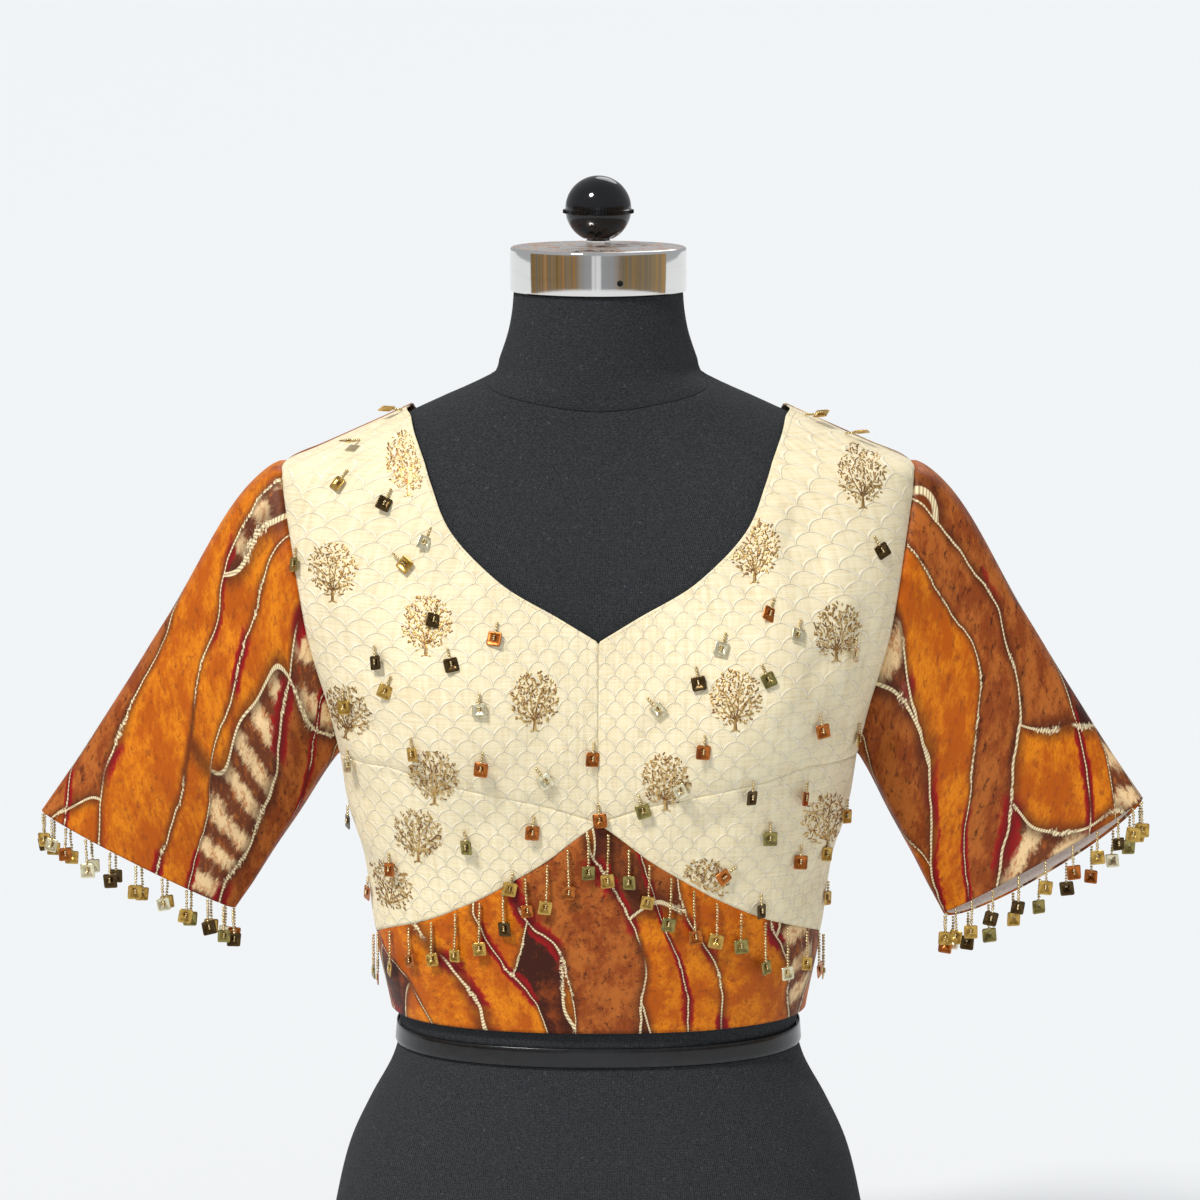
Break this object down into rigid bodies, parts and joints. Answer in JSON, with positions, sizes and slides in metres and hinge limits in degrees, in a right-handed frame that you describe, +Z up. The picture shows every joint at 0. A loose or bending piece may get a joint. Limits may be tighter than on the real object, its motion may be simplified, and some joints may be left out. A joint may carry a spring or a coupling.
{
  "type": "choli blouse on a dress form",
  "caption": "Cropped elbow-sleeve blouse with cream fronts, printed band, back and sleeves and bead fringes, resting on a limbless table dress form.",
  "frame": {"origin": "the middle of the form's flat base, on the surface it stands on", "axes": "+Z up along the neck; the front of the blouse faces -Y; +X is the wearer's left"},
  "size_m": [0.6765, 0.2418, 0.7844],
  "materials": {
    "cream_cloth": "slubby cream cotton and silk with raised self-colour scallops and gold embroidered trees",
    "printed_cloth": "satin cotton printed in amber, rust, dark brown, cream and crimson",
    "lining_cloth": "plain pinkish beige cotton",
    "fringe": "gold seed beads on strings with small square metal-coloured plates",
    "form_jersey": "fine black knit stretched over the form",
    "form_ribbon": "glossy black ribbon",
    "form_chrome": "polished chrome plate, dusty and rust-flecked on top",
    "form_knob": "glossy black bakelite"
  },
  "bodies": {
    "root": {"front_upper_left": "cream_cloth", "front_upper_right": "cream_cloth", "front_cup_left": "cream_cloth", "front_cup_right": "cream_cloth", "front_band": "printed_cloth", "back_left": "printed_cloth", "back_right": "printed_cloth", "sleeve_left": "printed_cloth", "sleeve_right": "printed_cloth", "sleeve_lining_left": "lining_cloth", "sleeve_lining_right": "lining_cloth", "band_fringe": "fringe", "cuff_fringe_left": "fringe", "cuff_fringe_right": "fringe", "form_torso": "form_jersey", "form_neck": "form_jersey", "form_waist_ribbon": "form_ribbon", "form_neck_cap": "form_chrome", "form_cap_nut": "form_chrome", "form_ball_knob": "form_knob"}
  },
  "joints": []
}
